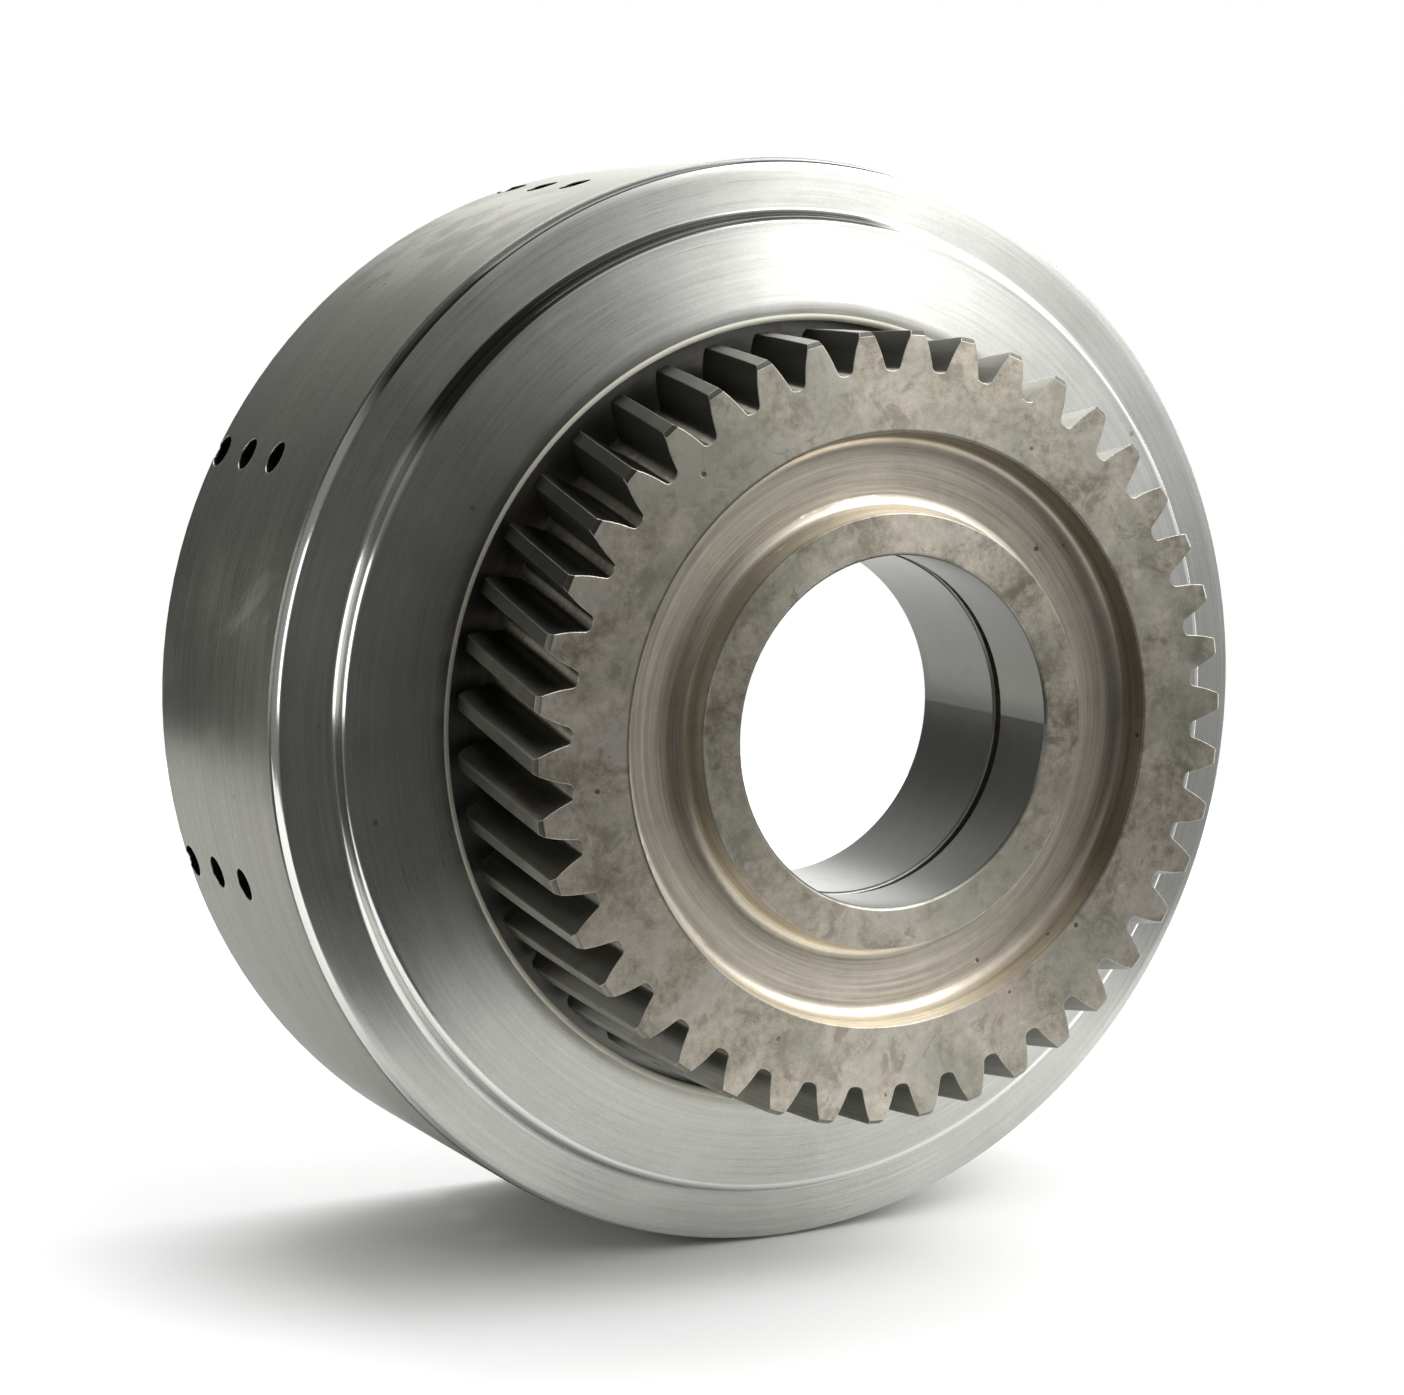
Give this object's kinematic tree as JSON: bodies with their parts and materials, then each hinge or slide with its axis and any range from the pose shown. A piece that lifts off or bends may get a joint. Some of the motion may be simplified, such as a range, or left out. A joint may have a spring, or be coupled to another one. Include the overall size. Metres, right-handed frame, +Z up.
{
  "type": "planetary gear set",
  "caption": "Planetary gear set in a turned steel drum: helical gear and carrier in front, sun sleeve with plain through-bore, planets, internal ring gear, splined open rear.",
  "frame": {"origin": "on the axis of rotation, inside the sun's plain bore, level with the front edge of the drum's cover", "axes": "Y is the axis of rotation; -Y towards the helical gear, +Y towards the open splined end of the drum; +Z up as it stands on its rim"},
  "size_m": [0.26, 0.1288, 0.26],
  "materials": {
    "drum_steel": "satin turned, lightly oiled",
    "cover_steel": "fine turned",
    "gear_steel": "case-hardened, warm stained",
    "inner_steel": "machined",
    "ground_steel": "ground",
    "bronze": "bearing bronze",
    "black_oxide": "black oxide"
  },
  "bodies": {
    "drum_body": {"drum": "drum_steel", "front_cover": "cover_steel", "cover_dowels": "ground_steel", "ring_gear": "inner_steel", "ring_gear_snap_ring": "black_oxide", "cover_thrust_washer": "bronze"},
    "carrier_body": {"input_gear": "gear_steel", "carrier_front": "inner_steel", "carrier_rear": "inner_steel", "carrier_dowels": "ground_steel", "carrier_bolts": "black_oxide", "planet_pins": "ground_steel", "pin_keepers": "black_oxide", "planet_front_washers": "bronze", "planet_rear_washers": "bronze", "gear_rollers": "ground_steel", "gear_bearing_cage": "bronze", "gear_thrust_washer": "bronze", "sun_front_washer": "bronze", "sun_rear_washer": "bronze"},
    "sun_body": {"sun_hub": "gear_steel"},
    "planet_body_1": {"planet_1": "gear_steel", "planet_needles_1": "ground_steel"},
    "planet_body_2": {"planet_2": "gear_steel", "planet_needles_2": "ground_steel"},
    "planet_body_3": {"planet_3": "gear_steel", "planet_needles_3": "ground_steel"},
    "planet_body_4": {"planet_4": "gear_steel", "planet_needles_4": "ground_steel"}
  },
  "joints": [
    {"name": "carrier_spin", "type": "hinge", "parent": "drum_body", "child": "carrier_body", "pos_m": [0, 0, 0], "axis": [0, 1, 0], "continuous": true},
    {"name": "sun_spin", "type": "hinge", "parent": "drum_body", "child": "sun_body", "pos_m": [0, 0, 0], "axis": [0, 1, 0], "continuous": true},
    {"name": "planet_1_spin", "type": "hinge", "parent": "carrier_body", "child": "planet_body_1", "pos_m": [0.05834, 0, 0.05834], "axis": [0, 1, 0], "continuous": true},
    {"name": "planet_2_spin", "type": "hinge", "parent": "carrier_body", "child": "planet_body_2", "pos_m": [-0.05834, 0, 0.05834], "axis": [0, 1, 0], "continuous": true},
    {"name": "planet_3_spin", "type": "hinge", "parent": "carrier_body", "child": "planet_body_3", "pos_m": [-0.05834, 0, -0.05834], "axis": [0, 1, 0], "continuous": true},
    {"name": "planet_4_spin", "type": "hinge", "parent": "carrier_body", "child": "planet_body_4", "pos_m": [0.05834, 0, -0.05834], "axis": [0, 1, 0], "continuous": true}
  ],
  "couplings": [
    {"joint": "sun_spin", "follows": "carrier_spin", "ratio": 2.75},
    {"joint": "planet_1_spin", "follows": "carrier_spin", "ratio": -4.6667},
    {"joint": "planet_2_spin", "follows": "carrier_spin", "ratio": -4.6667},
    {"joint": "planet_3_spin", "follows": "carrier_spin", "ratio": -4.6667},
    {"joint": "planet_4_spin", "follows": "carrier_spin", "ratio": -4.6667}
  ]
}
